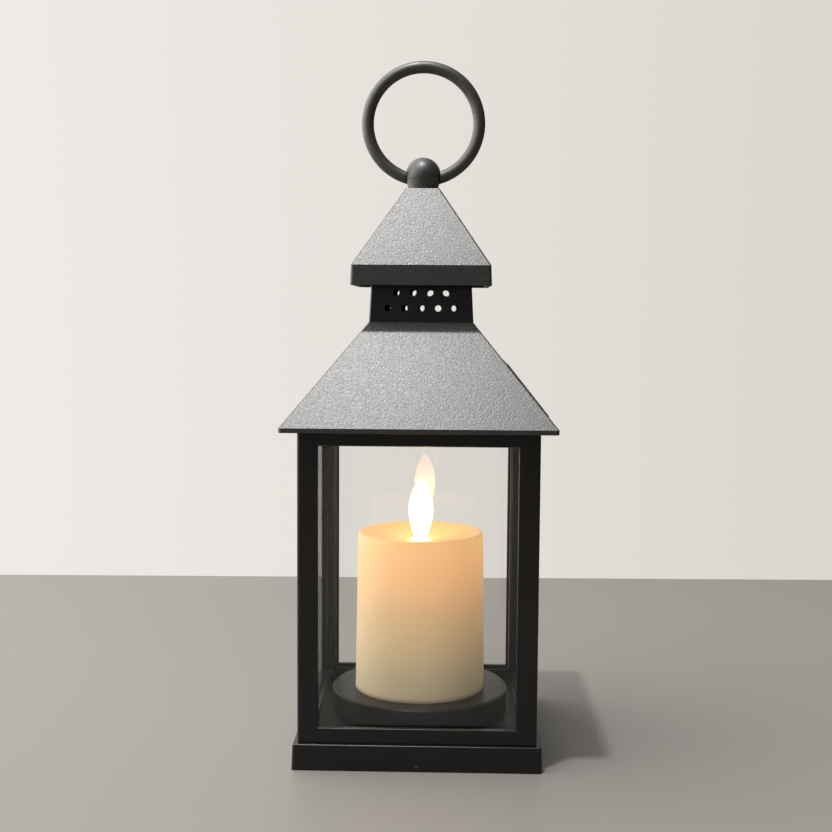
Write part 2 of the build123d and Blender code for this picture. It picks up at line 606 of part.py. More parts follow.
def candle_core():
    """Holder under the candle's top: collar, chamber for the flame's foot and shelf for the diode."""
    core = turned([(COLLAR_BORE, COLLAR_TOP), (COLLAR_RADIUS, COLLAR_TOP), (COLLAR_RADIUS, CANDLE_CEILING),
                   (11.0, CANDLE_CEILING), (11.0, CANDLE_CEILING - 1.6), (CORE_RADIUS, CANDLE_CEILING - 1.6),
                   (CORE_RADIUS, CORE_FOOT), (CORE_BORE, CORE_FOOT), (CORE_BORE, CANDLE_CEILING - 1.6),
                   (COLLAR_BORE, CANDLE_CEILING - 0.6)])
    shelf = block(-3, 3, 2.6, CORE_BORE + 0.8, 78.9, 80.5)
    led_hole = Pos(*LED_BASE) * Rot(LED_TILT, 0, 0) * Pos(0, 0, 3) * Cylinder(LED_RADIUS + 0.1, 8)
    wire_hole = Pos(0, 0, FLAME_PIVOT) * Rot(90, 0, 0) * Cylinder(WIRE_RADIUS + 0.05, 12)
    return cut(core + shelf, [led_hole, wire_hole])


def flame_wire():
    return Pos(0, 0, FLAME_PIVOT) * Rot(90, 0, 0) * Cylinder(WIRE_RADIUS, 2 * COLLAR_RADIUS)


def flame_leaf():
    right = [(w, 0, FLAME_PIVOT + h) for w, h in FLAME_OUTLINE] + [(0, 0, FLAME_TIP)]
    left = [(-x, y, z) for x, y, z in right]
    outline = Spline(*right, tangents=((0.1, 0, 1), (-0.45, 0, 1)))
    outline += Spline(*left, tangents=((-0.1, 0, 1), (0.45, 0, 1)))
    outline += Polyline(right[0], (1.5, 0, FLAME_PIVOT - 3.5), (-1.5, 0, FLAME_PIVOT - 3.5), left[0])
    leaf = extrude(make_face(outline), amount=FLAME_THICK / 2, both=True)
    stem = block(-1.5, 1.5, -FLAME_THICK / 2, FLAME_THICK / 2, MAGNET_HIGH, FLAME_PIVOT - 3.5)
    foot = post(0, 0, MAGNET_HIGH, MAGNET_HIGH + 1, MAGNET_RADIUS + 0.3)
    hole = Pos(0, 0, FLAME_PIVOT) * Rot(90, 0, 0) * Cylinder(FLAME_HOLE, 6)
    return join([leaf, stem, foot]) - hole


def flame_magnet():
    magnet = post(0, 0, MAGNET_LOW, MAGNET_HIGH, MAGNET_RADIUS)
    return chamfer(magnet.edges(), 0.2)


def coil_bobbin():
    bore = 1.2
    low = CORE_FOOT + COIL_FLANGE
    high = COIL_TOP - COIL_FLANGE
    return turned([(bore, CORE_FOOT), (BOBBIN_OUTER, CORE_FOOT), (BOBBIN_OUTER, low), (COIL_INNER, low),
                   (COIL_INNER, high), (BOBBIN_OUTER, high), (BOBBIN_OUTER, COIL_TOP), (bore, COIL_TOP)])


def drive_coil():
    bevel = 0.2
    inner = COIL_INNER + COIL_GAP
    low = CORE_FOOT + COIL_FLANGE + COIL_GAP
    high = COIL_TOP - COIL_FLANGE - COIL_GAP
    return turned([(inner, low), (COIL_OUTER - bevel, low), (COIL_OUTER, low + bevel),
                   (COIL_OUTER, high - bevel), (COIL_OUTER - bevel, high), (inner, high)])


def candle_led():
    flange = Pos(0, 0, 0.4) * Cylinder(LED_RADIUS + 0.25, 0.8)
    body = Pos(0, 0, 2.0) * Cylinder(LED_RADIUS, 3.2)
    dome = Pos(0, 0, 3.6) * Sphere(LED_RADIUS)
    lamp = Pos(*LED_BASE) * Rot(LED_TILT, 0, 0) * join([flange, body, dome])
    legs = [post(x, LED_BASE[1], CORE_FOOT, LED_BASE[2] + 0.4, 0.25) for x in (-0.9, 0.9)]
    return join([lamp] + legs)


def led_board():
    return post(0, 0, CORE_FOOT - LED_BOARD_THICK, CORE_FOOT, CORE_RADIUS - 0.1)


# ---- leads -----------------------------------------------------------------------------------------


def panel_lead(side):
    """From the back of the panel's board, down the rear right post, to the control board."""
    plane = panel_plane()
    along = PANEL_LEAD_ALONG + side * 0.9
    deep = 6.75 - side * 1.25
    start = plane.from_local_coords(Vector(along, 0, -PANEL_DEPTH))
    inside = plane.from_local_coords(Vector(along, 0, -PANEL_DEPTH - deep))
    x = CONDUIT[0] + side * LEAD_PAIR
    y = CONDUIT[1] - side * LEAD_PAIR
    z_under = BOARD_UNDER - LEAD_RADIUS - 0.05
    points = [start, inside, (x, y, 149.0 + side), (x, y, z_under), (12.0, 37.0 - side * 0.9, z_under)]
    return lead(points, [4.0, 4.0, 3.0])


def led_leads():
    leads = []
    z_under = BOARD_UNDER - THIN_LEAD_RADIUS - 0.05
    for side in (-1, 1):
        points = [(side * 2.0, 5.0, CORE_FOOT - LED_BOARD_THICK), (side * 2.0, 5.0, 42.0),
                  (side * 1.1, LEAD_HOLE[1], 28.0), (side * 1.1, LEAD_HOLE[1], z_under),
                  (side * 1.1, 22.0, z_under)]
        leads.append(lead(points, [6.0, 6.0, 2.6], radius=THIN_LEAD_RADIUS))
    return leads


def battery_leads():
    """From each contact's tab to the near edge of the control board."""
    leads = []
    z = BOARD_UNDER - THIN_LEAD_RADIUS - 0.05
    for side in (-1, 1):
        x = side * (BAY_HALF - 0.25)
        y = BAY_HALF_WIDTH + BAY_WALL + 1.6
        points = [(x, y, z), (x, 20.5, z), (side * 15.2, 20.5, z)]
        leads.append(lead(points, [5.0], radius=THIN_LEAD_RADIUS))
    return leads


# ---- export ----------------------------------------------------------------------------------------

NODES = {
    "base_plinth": base_plinth(),
    "bottom_cover": bottom_cover(),
    "cover_screws": cover_screws(),
    "battery_door": battery_door(),
    "battery_cell": battery_cell(),
    "positive_contact": positive_contact(),
    "contact_spring": contact_spring(),
    "control_board": control_board(),
    "board_parts": board_parts(),
    "board_screws": board_screws(),
    "switch_body": switch_body(),
    "switch_knob": switch_knob(),
    "lantern_frame": lantern_frame(),
    "front_pane": pane(),
    "right_pane": Rot(0, 0, 90) * pane(),
    "back_pane": Rot(0, 0, 180) * pane(),
    "left_pane": Rot(0, 0, 270) * pane(),
    "roof": roof(),
    "roof_ceiling": roof_ceiling(),
    "ceiling_screws": ceiling_screws(),
    "solar_board": solar_board(),
    "solar_cells": solar_cells(),
    "solar_resin": solar_resin(),
    "cap": cap(),
    "cap_screws": cap_screws(),
    "finial_ball": finial_ball(),
    "finial_screw": finial_screw(),
    "ring_handle": ring_handle(),
    "candle_plate": candle_plate(),
    "plate_screws": plate_screws(),
    "candle_shell": candle_shell(),
    "candle_core": candle_core(),
    "flame_wire": flame_wire(),
    "flame_leaf": flame_leaf(),
    "flame_magnet": flame_magnet(),
    "coil_bobbin": coil_bobbin(),
    "drive_coil": drive_coil(),
    "candle_led": candle_led(),
    "led_board": led_board(),
    "panel_lead_red": panel_lead(-1),
    "panel_lead_black": panel_lead(1),
    "led_leads": led_leads(),
    "battery_leads": battery_leads(),
}

os.makedirs("parts", exist_ok=True)
for name, shape in NODES.items():
    if isinstance(shape, list):
        shape = Compound(children=[s for item in shape for s in item.solids()])
    export_step(shape, f"parts/{name}.step")
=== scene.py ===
import json
import math

import bmesh
import bpy
from mathutils import Matrix, Vector, noise


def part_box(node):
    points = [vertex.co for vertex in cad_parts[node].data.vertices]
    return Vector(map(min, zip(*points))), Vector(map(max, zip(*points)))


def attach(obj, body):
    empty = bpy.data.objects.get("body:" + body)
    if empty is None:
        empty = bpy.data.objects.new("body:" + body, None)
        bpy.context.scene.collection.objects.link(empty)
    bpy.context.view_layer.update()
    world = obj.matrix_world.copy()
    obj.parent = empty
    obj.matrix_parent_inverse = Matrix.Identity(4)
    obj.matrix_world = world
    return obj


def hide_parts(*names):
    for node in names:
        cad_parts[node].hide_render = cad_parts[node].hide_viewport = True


# Looks of a black plastic solar lantern with a moving-flame candle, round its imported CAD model.
# Metres. The front faces -Y, +X is to the viewer's right, and the lantern stands on z = 0.

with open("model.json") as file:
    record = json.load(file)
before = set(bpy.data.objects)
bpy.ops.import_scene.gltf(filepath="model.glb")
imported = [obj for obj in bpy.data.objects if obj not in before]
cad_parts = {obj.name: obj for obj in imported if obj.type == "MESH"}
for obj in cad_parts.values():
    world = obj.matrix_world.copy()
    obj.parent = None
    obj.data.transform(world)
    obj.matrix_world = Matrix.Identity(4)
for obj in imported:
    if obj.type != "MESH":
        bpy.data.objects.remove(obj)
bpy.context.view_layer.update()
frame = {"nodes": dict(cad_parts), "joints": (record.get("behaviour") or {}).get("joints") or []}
nodes = frame["nodes"]

MM = 0.001
FLAME_PIVOT = next(joint for joint in frame["joints"] if joint["name"] == "flame_swing")["pos_m"][2]

# ---- node helpers ----------------------------------------------------------------------------------


def new_material(name):
    """A node material: its name, tree and Principled shader."""
    mat = bpy.data.materials.new(name)
    mat.use_nodes = True
    tree = mat.node_tree
    return mat, tree, tree.nodes["Principled BSDF"]


def add(tree, kind, inputs=None, **settings):
    """A node with its settings, and its inputs set or linked by name or number."""
    node = tree.nodes.new(kind)
    for key, value in settings.items():
        setattr(node, key, value)
    for key, value in (inputs or {}).items():
        if isinstance(value, bpy.types.NodeSocket):
            tree.links.new(value, node.inputs[key])
        else:
            node.inputs[key].default_value = value
    return node


def place(tree):
    """Object coordinates, in metres, which stay with the piece when it moves."""
    return add(tree, "ShaderNodeTexCoord").outputs["Object"]


def grain(tree, scale, detail=2.0, roughness=0.5):
    """A noise value from 0 to 1 at so many features to the metre."""
    return add(tree, "ShaderNodeTexNoise", {"Vector": place(tree), "Scale": scale, "Detail": detail,
                                            "Roughness": roughness}).outputs["Fac"]


def ramp(tree, value, stops):
    """Colours between stops of (position, (r, g, b))."""
    node = add(tree, "ShaderNodeValToRGB", {"Fac": value})
    elements = node.color_ramp.elements
    while len(elements) < len(stops):
        elements.new(0.5)
    for element, (position, colour) in zip(elements, stops):
        element.position = position
        element.color = (*colour, 1.0)
    return node.outputs["Color"]


def spread(tree, value, low, high, to_low, to_high):
    """A value mapped from one range to another, held at the ends."""
    return add(tree, "ShaderNodeMapRange", {"Value": value, "From Min": low, "From Max": high,
                                            "To Min": to_low, "To Max": to_high}).outputs["Result"]


def calc(tree, operation, *values):
    """The result of a maths node on one to three values."""
    return add(tree, "ShaderNodeMath", dict(enumerate(values)), operation=operation).outputs[0]


def blend(tree, share, first, second):
    """A colour between two, by the second one's share."""
    return add(tree, "ShaderNodeMix", {"Factor": share, 6: first, 7: second}, data_type="RGBA").outputs[2]


def bump(tree, shader, height, distance, strength=1.0):
    """Relief on the shader's normal, its height in metres."""
    node = add(tree, "ShaderNodeBump", {"Height": height, "Distance": distance, "Strength": strength})
    tree.links.new(node.outputs["Normal"], shader.inputs["Normal"])


def axis_of(tree, axis, vector=None):
    """One coordinate of a position."""
    return add(tree, "ShaderNodeSeparateXYZ", {"Vector": vector or place(tree)}).outputs[axis]


def let_light_through(tree, shader):
    """Rays from lamps pass a clear piece without bending, so that it doesn't darken what it covers."""
    output = next(n for n in tree.nodes if n.type == "OUTPUT_MATERIAL")
    path = add(tree, "ShaderNodeLightPath")
    clear = add(tree, "ShaderNodeBsdfTransparent", {"Color": (0.96, 0.97, 0.96, 1.0)})
    mix = add(tree, "ShaderNodeMixShader", {"Fac": path.outputs["Is Shadow Ray"],
                                            1: shader.outputs[0], 2: clear.outputs[0]})
    tree.links.new(mix.outputs[0], output.inputs["Surface"])


# ---- materials -------------------------------------------------------------------------------------

GLOSSY_ROUGHNESS = 0.22
SHEEN_SPECKS_TO_GRAIN = 1.5           # how many specks of painted sheen to the metre, against the grain's features


def black_plastic(name, texture, rough, relief, tone, specular, painted_sheen=None, glossy_band=None):
    """Moulded black plastic with a spark-eroded grain of so many features to the metre.

    Paler grey specks, a painted sheen for the overhead lamp's glare, can lie on its slopes that face up,
    but not on its upright walls. A glossy band, given by its lowest and highest z, is smoother than the
    rest."""
    mat, tree, shader = new_material(name)
    fine = grain(tree, texture, detail=3.0, roughness=0.6)
    broad = grain(tree, 45.0, detail=3.0)
    colour = ramp(tree, broad, [(0.3, (0.85 * tone, 0.85 * tone, 0.88 * tone)),
                                (0.7, (1.2 * tone, 1.17 * tone, 1.15 * tone))])
    shader.inputs["Specular IOR Level"].default_value = specular
    roughness = spread(tree, fine, 0.3, 0.7, rough - 0.05, rough + 0.06)
    if glossy_band:
        z = axis_of(tree, "Z")
        inside = calc(tree, "MULTIPLY", calc(tree, "GREATER_THAN", z, glossy_band[0]),
                      calc(tree, "LESS_THAN", z, glossy_band[1]))
        roughness = add(tree, "ShaderNodeMix", {"Factor": inside, 2: roughness, 3: GLOSSY_ROUGHNESS},
                        data_type="FLOAT").outputs[0]
    # Paler specks only on faces that turn up: a painted sheen for the overhead lamp's glare on the slopes.
    if painted_sheen:
        amount = spread(tree, grain(tree, SHEEN_SPECKS_TO_GRAIN * texture, detail=1.0), 0.42, 0.64, 0.0, 1.0)
        facing = add(tree, "ShaderNodeTexCoord").outputs["Normal"]
        sheen_on_slopes = spread(tree, axis_of(tree, "Z", facing), 0.1, 0.3, 0.0, 1.0)
        colour = blend(tree, calc(tree, "MULTIPLY", amount, sheen_on_slopes), colour, (*painted_sheen, 1.0))
    tree.links.new(colour, shader.inputs["Base Color"])
    tree.links.new(roughness, shader.inputs["Roughness"])
    bump(tree, shader, fine, relief)
    return mat


def clear_pane():
    """Clear sheet with faint smears."""
    mat, tree, shader = new_material("clear_pane")
    shader.inputs["Base Color"].default_value = (0.965, 0.975, 0.965, 1.0)
    shader.inputs["Transmission Weight"].default_value = 1.0
    shader.inputs["IOR"].default_value = 1.38
    smear = grain(tree, 30.0, detail=4.0)
    tree.links.new(spread(tree, smear, 0.45, 0.75, 0.0, 0.02), shader.inputs["Roughness"])
    let_light_through(tree, shader)
    return mat


def candle_wax():
    """Cream wax-like plastic, lit from within near the flame."""
    mat, tree, shader = new_material("candle_wax")
    low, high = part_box("candle_shell")
    cloud = grain(tree, 60.0, detail=3.0)
    height = spread(tree, axis_of(tree, "Z"), low.z, high.z, 0.0, 1.0)
    drift = calc(tree, "MULTIPLY_ADD", cloud, 0.06, height)
    # The base colour grows paler and warmer towards the top along with the glow: painted light from the
    # flame.
    colour = ramp(tree, drift, [(0.0, (0.58, 0.48, 0.32)), (0.45, (0.68, 0.54, 0.34)),
                                (1.0, (0.76, 0.56, 0.33))])
    tree.links.new(colour, shader.inputs["Base Color"])
    tree.links.new(spread(tree, cloud, 0.3, 0.7, 0.42, 0.52), shader.inputs["Roughness"])
    shader.inputs["Subsurface Weight"].default_value = 0.35
    shader.inputs["Subsurface Radius"].default_value = (1.0, 0.55, 0.25)
    shader.inputs["Subsurface Scale"].default_value = 5.0 * MM
    glow = ramp(tree, drift, [(0.15, (0.0, 0.0, 0.0)), (0.55, (0.21, 0.10, 0.028)),
                              (0.80, (0.42, 0.20, 0.06)), (1.0, (0.56, 0.28, 0.09))])
    tree.links.new(glow, shader.inputs["Emission Color"])
    shader.inputs["Emission Strength"].default_value = 1.0
    bump(tree, shader, cloud, 0.15 * MM, 0.5)
    return mat


def flame_light():
    """Translucent plastic leaf, lit from its foot."""
    mat, tree, shader = new_material("flame_light")
    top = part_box("flame_leaf")[1].z
    height = spread(tree, axis_of(tree, "Z"), FLAME_PIVOT, top, 0.0, 1.0)
    streak = grain(tree, 500.0, detail=2.0)
    drift = calc(tree, "MULTIPLY_ADD", streak, 0.05, height)
    colour = ramp(tree, drift, [(0.0, (0.90, 0.46, 0.15)), (0.50, (0.80, 0.37, 0.12)),
                                (0.80, (0.42, 0.16, 0.06)), (1.0, (0.25, 0.085, 0.040))])
    shader.inputs["Base Color"].default_value = (0.95, 0.85, 0.65, 1.0)
    tree.links.new(spread(tree, streak, 0.3, 0.7, 0.35, 0.5), shader.inputs["Roughness"])
    tree.links.new(colour, shader.inputs["Emission Color"])
    shader.inputs["Emission Strength"].default_value = 20.0
    return mat


def glowing_plastic(name, colour, strength):
    """Pale plastic beside the diode, which it lights up."""
    mat, tree, shader = new_material(name)
    cloud = grain(tree, 300.0)
    tree.links.new(ramp(tree, cloud, [(0.3, tuple(0.92 * c for c in colour)), (0.7, colour)]),
                   shader.inputs["Base Color"])
    tree.links.new(spread(tree, cloud, 0.3, 0.7, 0.4, 0.5), shader.inputs["Roughness"])
    shader.inputs["Emission Color"].default_value = (1.0, 0.80, 0.42, 1.0)
    shader.inputs["Emission Strength"].default_value = strength
    return mat


def clear_resin(name, colour, roughness):
    """Clear cast resin or a diode's lens."""
    mat, tree, shader = new_material(name)
    shader.inputs["Base Color"].default_value = (*colour, 1.0)
    shader.inputs["Transmission Weight"].default_value = 1.0
    shader.inputs["IOR"].default_value = 1.5
    tree.links.new(spread(tree, grain(tree, 250.0), 0.3, 0.7, roughness, roughness + 0.05),
                   shader.inputs["Roughness"])
    let_light_through(tree, shader)
    return mat


def solar_cell():
    """Dark blue silicon with fine silver fingers across each strip."""
    mat, tree, shader = new_material("solar_cell")
    y = axis_of(tree, "Y")
    z = axis_of(tree, "Z")
    crystal = grain(tree, 400.0, detail=1.0)
    silicon = ramp(tree, crystal, [(0.3, (0.006, 0.010, 0.035)), (0.7, (0.014, 0.022, 0.075))])
    finger_pitch = 1.0 * MM
    bar_pitch = 6.375 * MM
    lines = []
    for coordinate, pitch, width in ((z, finger_pitch, 0.12), (y, bar_pitch, 0.07)):
        part = calc(tree, "FRACT", calc(tree, "DIVIDE", coordinate, pitch))
        lines.append(calc(tree, "LESS_THAN", part, width))
    any_line = calc(tree, "MAXIMUM", *lines)
    silver = (0.55, 0.56, 0.58, 1.0)
    tree.links.new(blend(tree, any_line, silicon, silver), shader.inputs["Base Color"])
    tree.links.new(spread(tree, any_line, 0.0, 1.0, 0.22, 0.4), shader.inputs["Roughness"])
    return mat


def metal(name, low, high, rough):
    """Metal with fine variation in tone and shine."""
    mat, tree, shader = new_material(name)
    fine = grain(tree, 900.0, detail=3.0)
    tree.links.new(ramp(tree, fine, [(0.3, low), (0.7, high)]), shader.inputs["Base Color"])
    tree.links.new(spread(tree, fine, 0.3, 0.7, rough, rough + 0.12), shader.inputs["Roughness"])
    shader.inputs["Metallic"].default_value = 1.0
    bump(tree, shader, fine, 0.02 * MM)
    return mat


def wound_copper():
    """Enamelled wire wound in even turns."""
    mat, tree, shader = new_material("wound_copper")
    turn_pitch = 0.22 * MM
    wave = calc(tree, "SINE", calc(tree, "MULTIPLY", axis_of(tree, "Z"), 2 * math.pi / turn_pitch))
    # Darker between the turns: painted shade in the grooves of the winding.
    colour = ramp(tree, spread(tree, wave, -1.0, 1.0, 0.0, 1.0),
                  [(0.0, (0.16, 0.05, 0.02)), (1.0, (0.72, 0.33, 0.14))])
    tree.links.new(colour, shader.inputs["Base Color"])
    tree.links.new(spread(tree, wave, -1.0, 1.0, 0.45, 0.28), shader.inputs["Roughness"])
    shader.inputs["Metallic"].default_value = 1.0
    bump(tree, shader, wave, 0.08 * MM)
    return mat


def plain(name, low, high, rough, scale, specular=0.5):
    """Satin plastic, rubber or solder mask with a faint mottle of so many features to the metre."""
    mat, tree, shader = new_material(name)
    shader.inputs["Specular IOR Level"].default_value = specular
    fine = grain(tree, scale, detail=4.0)
    tree.links.new(ramp(tree, fine, [(0.3, low), (0.7, high)]), shader.inputs["Base Color"])
    tree.links.new(spread(tree, fine, 0.3, 0.7, rough, rough + 0.1), shader.inputs["Roughness"])
    bump(tree, shader, fine, 0.02 * MM)
    return mat


def battery_sleeve():
    """Plain green sleeve with a silver band at its positive end."""
    mat, tree, shader = new_material("battery_sleeve")
    low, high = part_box("battery_cell")
    green = (0.02, 0.12, 0.05)
    along = spread(tree, axis_of(tree, "X"), low.x, high.x, 0.0, 1.0)
    colour = ramp(tree, along, [(0.0, (0.45, 0.45, 0.46)), (0.012, green), (0.80, green),
                                (0.81, (0.55, 0.56, 0.57)), (1.0, (0.60, 0.60, 0.62))])
    tree.links.new(colour, shader.inputs["Base Color"])
    tree.links.new(spread(tree, grain(tree, 200.0), 0.3, 0.7, 0.25, 0.35), shader.inputs["Roughness"])
    return mat


# the neck, from the roof's slopes up to the cap, is smoother than both
NECK_FOOT = 187.0 * MM
# The paler grey given for the specks is a painted sheen on the roof's and cap's slopes.
grained = black_plastic("black_grained", 1150.0, 0.44, 0.10 * MM, tone=0.004, specular=0.85,
                        painted_sheen=(0.060, 0.060, 0.061), glossy_band=(NECK_FOOT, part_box("cap")[0].z))
satin = black_plastic("black_satin", 3000.0, 0.31, 0.01 * MM, tone=0.003, specular=0.4)
dish = black_plastic("dish_black", 900.0, 0.36, 0.03 * MM, tone=0.004, specular=0.2)
handle = plain("handle_black", (0.010, 0.009, 0.008), (0.015, 0.013, 0.011), 0.42, 700.0, specular=0.9)
pane_look = clear_pane()
wax = candle_wax()
flame_look = flame_light()
lit_white = glowing_plastic("lit_white", (0.90, 0.84, 0.70), 2.4)
resin = clear_resin("clear_resin", (0.93, 0.94, 0.93), 0.02)
lens = clear_resin("diode_lens", (1.0, 0.86, 0.55), 0.05)
cells = solar_cell()
steel = metal("screw_steel", (0.50, 0.50, 0.50), (0.66, 0.66, 0.65), 0.25)
nickel = metal("nickel", (0.62, 0.61, 0.58), (0.72, 0.71, 0.69), 0.12)
copper = wound_copper()
circuit = plain("circuit_green", (0.010, 0.085, 0.030), (0.014, 0.115, 0.042), 0.32, 260.0)
chips = plain("chip_black", (0.018, 0.018, 0.018), (0.028, 0.028, 0.028), 0.45, 800.0)
red_rubber = plain("lead_red", (0.38, 0.012, 0.010), (0.46, 0.018, 0.014), 0.42, 500.0)
black_rubber = plain("lead_black", (0.012, 0.012, 0.012), (0.018, 0.018, 0.018), 0.42, 500.0)
sleeve = battery_sleeve()

LOOKS = {
    grained: ("roof", "cap"),
    satin: ("base_plinth", "lantern_frame", "roof_ceiling", "bottom_cover", "battery_door", "switch_knob"),
    handle: ("ring_handle", "finial_ball"),
    dish: ("candle_plate",),
    pane_look: ("front_pane", "right_pane", "back_pane", "left_pane"),
    wax: ("candle_shell",),
    flame_look: ("flame_leaf",),
    lit_white: ("candle_core", "coil_bobbin"),
    resin: ("solar_resin",),
    lens: ("candle_led",),
    cells: ("solar_cells",),
    steel: ("cover_screws", "ceiling_screws", "cap_screws", "plate_screws", "board_screws", "finial_screw",
            "positive_contact", "contact_spring", "switch_body", "flame_wire"),
    nickel: ("flame_magnet",),
    copper: ("drive_coil",),
    circuit: ("control_board", "led_board", "solar_board"),
    chips: ("board_parts",),
    red_rubber: ("panel_lead_red", "battery_leads"),
    black_rubber: ("panel_lead_black", "led_leads"),
    sleeve: ("battery_cell",),
}
for look, names in LOOKS.items():
    for name in names:
        nodes[name].data.materials.clear()
        nodes[name].data.materials.append(look)

# ---- mesh helpers ----------------------------------------------------------------------------------


def mesh_piece(name, points, faces, look, smooth=True):
    """A mesh object from points and faces."""
    mesh = bpy.data.meshes.new(name)
    mesh.from_pydata([tuple(p) for p in points], [], faces)
    bm = bmesh.new()
    bm.from_mesh(mesh)
    bmesh.ops.recalc_face_normals(bm, faces=bm.faces)
    bm.to_mesh(mesh)
    bm.free()
    mesh.materials.append(look)
    if smooth:
        mesh.shade_smooth()
    else:
        mesh.shade_flat()
    piece = bpy.data.objects.new(name, mesh)
    bpy.context.scene.collection.objects.link(piece)
    return piece


def ring_faces(rows, columns, closed_rows=False):
    """Quads between rows of points that each close on themselves."""
    faces = []
    last = rows if closed_rows else rows - 1
    for i in range(last):
        for j in range(columns):
            a = i * columns + j
            b = i * columns + (j + 1) % columns
            c = ((i + 1) % rows) * columns + (j + 1) % columns
            d = ((i + 1) % rows) * columns + j
            faces.append((a, b, c, d))
    return faces


# ---- candle ----------------------------------------------------------------------------------------

CANDLE_COLUMNS = 160
CANDLE_INSET = 0.05 * MM        # the wax stays just inside its CAD shell
CANDLE_TAPER = 1.0 * MM         # how much smaller the radius is at the top
CANDLE_WALL = 2.2 * MM
SIDE_STEPS = 24
RIM_ROUND = 1.3 * MM
RIM_STEPS = 8
RIM_WAVE = 0.40 * MM
SIDE_DENT = 0.12 * MM
DISH_DEPTH = 4.45 * MM
DISH_STEPS = 20
LIP_SHARE = 4.6 / 11.0          # the hole for the flame, against the core's radius


def smooth_step(t):
    """0 below 0, 1 above 1, and an eased rise between."""
    t = min(max(t, 0.0), 1.0)
    return t * t * (3 - 2 * t)


def candle_profile():
    """(radius, height, share of the melted rim's wave) from the foot, over the rim, to the inside."""
    low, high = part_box("candle_shell")
    foot_radius = high.x - CANDLE_INSET
    top_radius = foot_radius - CANDLE_TAPER
    rim = high.z - CANDLE_INSET
    dish_radius = top_radius - RIM_ROUND
    dish_low = rim - DISH_DEPTH
    lip_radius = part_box("candle_core")[1].x * LIP_SHARE
    side_height = rim - 2.0 * MM - low.z
    profile = []
    for i in range(SIDE_STEPS):
        t = i / SIDE_STEPS
        melt = 0.6 * smooth_step(4 * t - 3)
        profile.append((foot_radius - CANDLE_TAPER * t, low.z + side_height * t, melt))
    for i in range(RIM_STEPS + 1):
        a = math.radians(90 * i / RIM_STEPS)
        height = rim - RIM_ROUND * (1 - math.sin(a))
        profile.append((dish_radius + RIM_ROUND * math.cos(a), height, 1.0))
    for i in range(1, DISH_STEPS + 1):
        t = i / DISH_STEPS
        drop = 1 - (1 - t) ** 2.3
        radius = dish_radius + (lip_radius - dish_radius) * t
        profile.append((radius, rim - DISH_DEPTH * drop, (1 - t) ** 2))
    inside = ((lip_radius, dish_low - 1.6 * MM), (dish_radius - CANDLE_WALL, dish_low - 1.4 * MM),
              (top_radius - CANDLE_WALL, dish_low - 4.0 * MM), (foot_radius - CANDLE_WALL, low.z))
    return profile + [(radius, height, 0.0) for radius, height in inside]


def candle():
    """Cast-wax candle shell: dished top, a softly melted rim and slightly uneven sides."""
    points = []
    profile = candle_profile()
    side_foot = profile[0][1] + 0.5 * MM
    side_radius = 20.0 * MM
    for radius, height, melt in profile:
        for j in range(CANDLE_COLUMNS):
            a = 2 * math.pi * j / CANDLE_COLUMNS
            c, s = math.cos(a), math.sin(a)
            broad = noise.noise(Vector((2.2 * c, 2.2 * s, 3.1)))
            fine = noise.noise(Vector((6 * c, 6 * s, 8.4)))
            dip = RIM_WAVE * melt * (0.6 * broad + 0.4 * fine - 0.6)
            dent = SIDE_DENT * (noise.noise(Vector((1.7 * c, 1.7 * s, 60 * height))) - 0.7)
            on_side = height > side_foot and radius > side_radius
            r = radius + dent if on_side else radius
            points.append((r * c, r * s, height + dip))
    faces = ring_faces(len(profile), CANDLE_COLUMNS, closed_rows=True)
    piece = mesh_piece("wax_candle", points, faces, wax)
    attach(piece, "lantern")
    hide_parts("candle_shell")


# ---- flame -----------------------------------------------------------------------------------------

FLAME_ROWS = 48
FLAME_COLUMNS = 24
FLAME_FOOT = 3.5 * MM           # how far the leaf reaches below its wire
FLAME_THICK = 0.6 * MM          # to each side of its middle
FLAME_BOW = 0.7 * MM
FLAME_INSET = 0.1 * MM
FOOT_SHARE = 0.273              # half-width of the foot, against the widest
# half-width as a share of the widest, against height as a share of the leaf
FLAME_OUTLINE = ((0.0, 0.40), (0.10, 0.60), (0.22, 0.80), (0.35, 0.945), (0.47, 1.0), (0.60, 0.95),
                 (0.72, 0.80), (0.84, 0.56), (0.93, 0.30), (0.98, 0.13), (1.0, 0.03))
STEM_HALF = (1.5 * MM, 0.6 * MM)
STEM_CHAMFER = 0.2 * MM
MAGNET_DISC = 1.0 * MM
DISC_COLUMNS = 32


def flame_share(t):
    """Half-width of the leaf, as a share of the widest, at a share of its height."""
    for (t0, w0), (t1, w1) in zip(FLAME_OUTLINE, FLAME_OUTLINE[1:]):
        if t <= t1:
            return w0 + (w1 - w0) * (t - t0) / (t1 - t0)
    return FLAME_OUTLINE[-1][1]


def closed_tube(levels, start):
    """Faces between levels of equally many points, shut at both ends and numbered from start."""
    rows, columns = len(levels), len(levels[0])
    faces = [tuple(start + k for k in face) for face in ring_faces(rows, columns)]
    faces.append(tuple(range(start, start + columns)))
    faces.append(tuple(range(start + (rows - 1) * columns, start + rows * columns)))
    return faces


